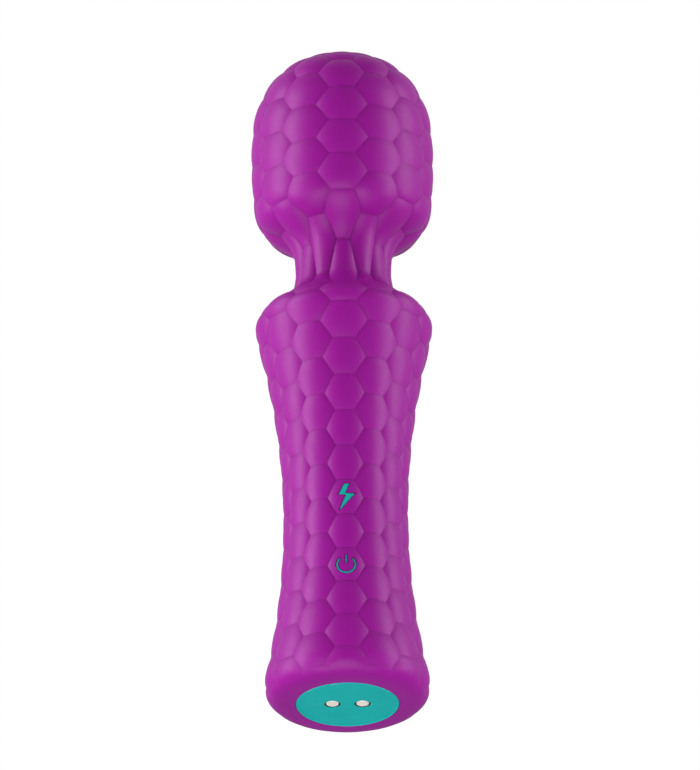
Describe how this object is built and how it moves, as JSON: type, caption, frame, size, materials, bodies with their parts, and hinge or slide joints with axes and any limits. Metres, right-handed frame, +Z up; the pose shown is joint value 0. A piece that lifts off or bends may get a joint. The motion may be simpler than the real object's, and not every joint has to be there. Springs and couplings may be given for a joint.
{
  "type": "handheld wand massager",
  "caption": "Cordless wand massager with a hexagon-scaled silicone skin, waisted handle, push buttons, flexible neck, round vibrating head and a magnetic charging plate in its base.",
  "frame": {"origin": "centre of the bounding box's bottom face, under the wand where it lies on its back", "axes": "+Y along the wand from the charging base to the head, +Z up out of the buttons, +X to the right when the buttons are looked at with the head away"},
  "size_m": [0.045, 0.178, 0.0462],
  "materials": {
    "purple_silicone": "matte moulded silicone",
    "teal_plastic": "satin",
    "teal_ink": "satin inlay",
    "nickel": "plated",
    "shell_plastic": "moulded",
    "key_plastic": "moulded",
    "board_green": "solder mask",
    "black_plastic": "moulded",
    "steel": "turned",
    "brass": "turned",
    "battery_wrap": "shrink wrap",
    "black_foam": "closed-cell foam",
    "black_rubber": "matte",
    "red_wire": "insulation",
    "black_wire": "insulation",
    "ferrite": "sintered",
    "tungsten": "sintered"
  },
  "bodies": {
    "handle": {"handle_sleeve": "purple_silicone", "charge_plate": "teal_plastic", "charge_contact_left": "nickel", "charge_contact_right": "nickel", "charge_magnet_front": "nickel", "charge_magnet_rear": "nickel", "charge_board": "board_green", "base_seal_ring": "black_rubber", "handle_shell_front": "shell_plastic", "handle_shell_rear": "shell_plastic", "handle_screw_lower_left": "steel", "handle_screw_lower_right": "steel", "handle_screw_upper_left": "steel", "handle_screw_upper_right": "steel", "power_switch_body": "black_plastic", "boost_switch_body": "black_plastic", "main_board": "board_green", "board_screw_lower": "steel", "board_screw_upper": "steel", "battery_cell": "battery_wrap", "battery_pad_front": "black_foam", "battery_pad_rear": "black_foam", "battery_lead_positive": "red_wire", "battery_lead_negative": "black_wire", "charge_lead_positive": "red_wire", "charge_lead_negative": "black_wire", "motor_lead_lower_positive": "red_wire", "motor_lead_lower_negative": "black_wire"},
    "neck": {"neck_sleeve": "purple_silicone", "neck_core": "black_rubber", "motor_lead_upper_positive": "red_wire", "motor_lead_upper_negative": "black_wire"},
    "head": {"head_sleeve": "purple_silicone", "head_frame_front": "shell_plastic", "head_frame_rear": "shell_plastic", "frame_screw_left": "steel", "frame_screw_right": "steel", "motor_can": "steel", "motor_magnet_left": "ferrite", "motor_magnet_right": "ferrite", "motor_end_bell": "black_plastic", "motor_bush_top": "brass", "motor_bush_bottom": "brass", "motor_ring_lower": "black_rubber", "motor_ring_upper": "black_rubber", "motor_terminal_left": "brass", "motor_terminal_right": "brass"},
    "rotor": {"motor_shaft": "steel", "motor_armature": "steel", "eccentric_weight": "tungsten"},
    "power_button": {"power_pad": "purple_silicone", "power_symbol_ring": "teal_ink", "power_symbol_bar": "teal_ink", "power_key": "key_plastic", "power_switch_plunger": "key_plastic"},
    "boost_button": {"boost_pad": "purple_silicone", "boost_symbol": "teal_ink", "boost_key": "key_plastic", "boost_switch_plunger": "key_plastic"}
  },
  "joints": [
    {"name": "neck_tilt", "type": "hinge", "parent": "handle", "child": "neck", "pos_m": [0, 0.027, 0.0231], "axis": [1, 0, 0], "range_deg": [-15, 15], "stiffness_Nm_per_rad": 1.5, "deforming": ["neck_sleeve", "neck_core", "motor_lead_upper_positive", "motor_lead_upper_negative"]},
    {"name": "neck_sway", "type": "hinge", "parent": "neck", "child": "head", "pos_m": [0, 0.035, 0.0231], "axis": [0, 0, 1], "range_deg": [-15, 15], "stiffness_Nm_per_rad": 1.5, "deforming": ["neck_sleeve", "neck_core", "motor_lead_upper_positive", "motor_lead_upper_negative"]},
    {"name": "rotor_spin", "type": "hinge", "parent": "head", "child": "rotor", "pos_m": [0, 0.0643, 0.0231], "axis": [0, 1, 0], "continuous": true},
    {"name": "power_press", "type": "slide", "parent": "handle", "child": "power_button", "axis": [0, 0, -1], "range_m": [0, 0.0005], "stiffness_N_per_m": 2000},
    {"name": "boost_press", "type": "slide", "parent": "handle", "child": "boost_button", "axis": [0, 0, -1], "range_m": [0, 0.0005], "stiffness_N_per_m": 2000}
  ]
}
